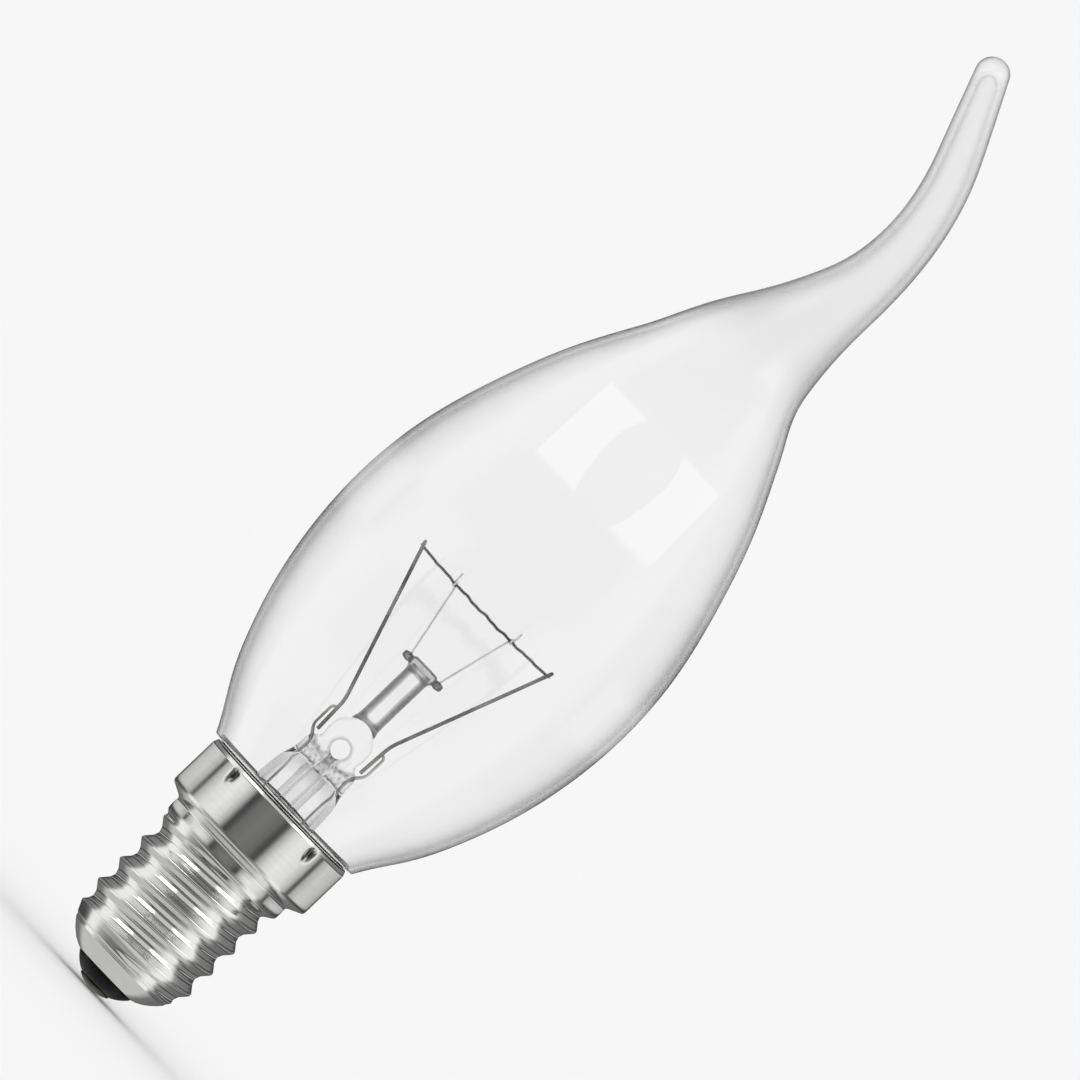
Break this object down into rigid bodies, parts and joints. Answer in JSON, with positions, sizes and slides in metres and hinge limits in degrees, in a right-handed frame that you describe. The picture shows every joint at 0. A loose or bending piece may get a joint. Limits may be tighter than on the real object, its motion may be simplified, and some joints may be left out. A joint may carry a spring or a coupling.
{
  "type": "candle bulb",
  "caption": "Clear incandescent candle lamp with a teardrop bulb, a drawn bent tip, a glass stem carrying a straight filament, and a small Edison screw cap.",
  "frame": {"origin": "centre of the flat on the end contact's solder, the lowest point of the cap", "axes": "+Z along the lamp's axis from the end contact to the tip; the tail sways in the XZ plane, first to +X and then back to -X; -Y is the side that faces the camera in the picture"},
  "size_m": [0.035, 0.035, 0.1215],
  "materials": {
    "clear_glass": "clear, blown, glossy",
    "stem_glass": "clear, pressed, a little bubbly",
    "tungsten": "dark coiled wire",
    "support_wire": "fine grey wire",
    "nickel_wire": "drawn nickel wire",
    "seal_wire": "oxidised clad wire",
    "plated_sheet": "bright nickel plate on drawn sheet",
    "black_glass": "black, moulded, semi-gloss",
    "eyelet_brass": "pressed",
    "solder": "dull tin solder",
    "cement": "matt baked cement"
  },
  "bodies": {
    "root": {"bulb_envelope": "clear_glass", "stem_flare": "stem_glass", "exhaust_tube": "stem_glass", "arbor_rod": "stem_glass", "filament": "tungsten", "filament_support_left": "support_wire", "filament_support_right": "support_wire", "inner_lead_left": "nickel_wire", "inner_lead_right": "nickel_wire", "seal_wire_left": "seal_wire", "seal_wire_right": "seal_wire", "centre_lead": "nickel_wire", "side_lead": "nickel_wire", "screw_shell": "plated_sheet", "cap_insulator": "black_glass", "contact_eyelet": "eyelet_brass", "contact_solder": "solder", "side_solder": "solder", "cap_cement": "cement"}
  },
  "joints": []
}
